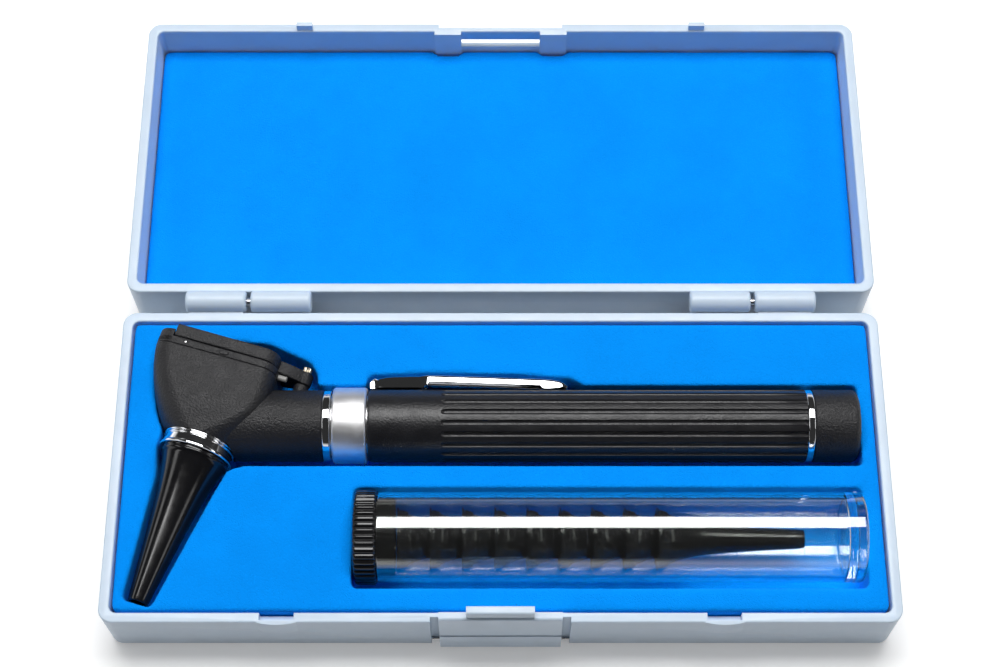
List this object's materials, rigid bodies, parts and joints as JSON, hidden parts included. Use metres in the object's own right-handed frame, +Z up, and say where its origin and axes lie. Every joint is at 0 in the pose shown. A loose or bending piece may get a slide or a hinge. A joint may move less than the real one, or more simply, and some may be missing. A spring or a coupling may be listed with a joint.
{
  "type": "otoscope carry case",
  "caption": "Hinged moulded carry case with cut foam inserts that hold a pocket otoscope and a clear canister of nested spare specula; the lid latches with a snap flap.",
  "frame": {"origin": "centre of the base shell's underside", "axes": "+X along the hinge line, +Y from the latch side to the hinge side, +Z up; the lid lies open behind the base"},
  "size_m": [0.196, 0.1751, 0.0276],
  "materials": {
    "case_plastic": "fine satin moulded",
    "blue_foam": "fine-celled matt foam",
    "black_plastic": "fine textured moulded",
    "gloss_black": "polished",
    "clear_plastic": "clear polished",
    "clear_lens": "polished",
    "bright_chrome": "polished",
    "satin_aluminium": "satin turned",
    "steel": "ground",
    "brass": "turned",
    "battery_wrap": "wrapped",
    "lamp_glass": "polished",
    "grey_plastic": "moulded"
  },
  "bodies": {
    "base": {"base_shell": "case_plastic", "base_foam": "blue_foam", "hinge_pin_left": "steel", "hinge_pin_right": "steel", "latch_pin": "steel"},
    "lid": {"lid_shell": "case_plastic", "lid_foam": "blue_foam"},
    "latch": {"latch_flap": "case_plastic"},
    "otoscope": {"head_housing": "black_plastic", "face_plate": "black_plastic", "specula_ring": "bright_chrome", "insufflation_port": "grey_plastic", "pivot_screw": "brass", "lamp": "lamp_glass", "lamp_holder": "brass", "neck_ring": "bright_chrome", "core_tube": "steel", "handle_sleeve": "black_plastic", "end_ring": "bright_chrome", "pocket_clip": "bright_chrome", "contact_plunger": "brass", "battery_front": "battery_wrap", "battery_rear": "battery_wrap"},
    "lens_holder": {"lens_frame": "black_plastic", "lens": "clear_lens"},
    "ear_tip": {"fitted_speculum": "gloss_black"},
    "switch": {"switch_collar": "satin_aluminium"},
    "handle_cap": {"battery_cap": "black_plastic", "battery_spring": "steel"},
    "canister": {"canister_tube": "clear_plastic", "speculum_1": "gloss_black", "speculum_2": "gloss_black", "speculum_3": "gloss_black", "speculum_4": "gloss_black", "speculum_5": "gloss_black", "speculum_6": "gloss_black", "speculum_7": "gloss_black", "speculum_8": "gloss_black", "speculum_9": "gloss_black"},
    "canister_lid": {"canister_cap": "black_plastic"}
  },
  "joints": [
    {"name": "lid_hinge", "type": "hinge", "parent": "base", "child": "lid", "pos_m": [0, 0.045, 0.0191], "axis": [-1, 0, 0], "range_deg": [-180, 0]},
    {"name": "latch_hinge", "type": "hinge", "parent": "base", "child": "latch", "pos_m": [0, -0.0408, 0.003], "axis": [1, 0, 0], "range_deg": [0, 90]},
    {"name": "otoscope_lift", "type": "slide", "parent": "base", "child": "otoscope", "axis": [0, 0, 1], "range_m": [0, 0.06]},
    {"name": "canister_lift", "type": "slide", "parent": "base", "child": "canister", "axis": [0, 0, 1], "range_m": [0, 0.045]},
    {"name": "lens_swivel", "type": "hinge", "parent": "otoscope", "child": "lens_holder", "pos_m": [-0.05074, 0.0237, 0.01585], "axis": [0.289, 0.9573, 0], "range_deg": [0, 60]},
    {"name": "speculum_twist", "type": "hinge", "parent": "otoscope", "child": "ear_tip", "pos_m": [-0.0774, 0.0025, 0.01585], "axis": [0.289, 0.9573, 0], "range_deg": [0, 30]},
    {"name": "switch_turn", "type": "hinge", "parent": "otoscope", "child": "switch", "pos_m": [-0.0382, 0.0112, 0.01585], "axis": [1, 0, 0], "range_deg": [0, 60]},
    {"name": "battery_cap_turn", "type": "hinge", "parent": "otoscope", "child": "handle_cap", "pos_m": [0.085, 0.0112, 0.01585], "axis": [1, 0, 0], "continuous": true},
    {"name": "canister_cap_turn", "type": "hinge", "parent": "canister", "child": "canister_lid", "pos_m": [-0.0333, -0.0189, 0.01585], "axis": [1, 0, 0], "continuous": true}
  ]
}
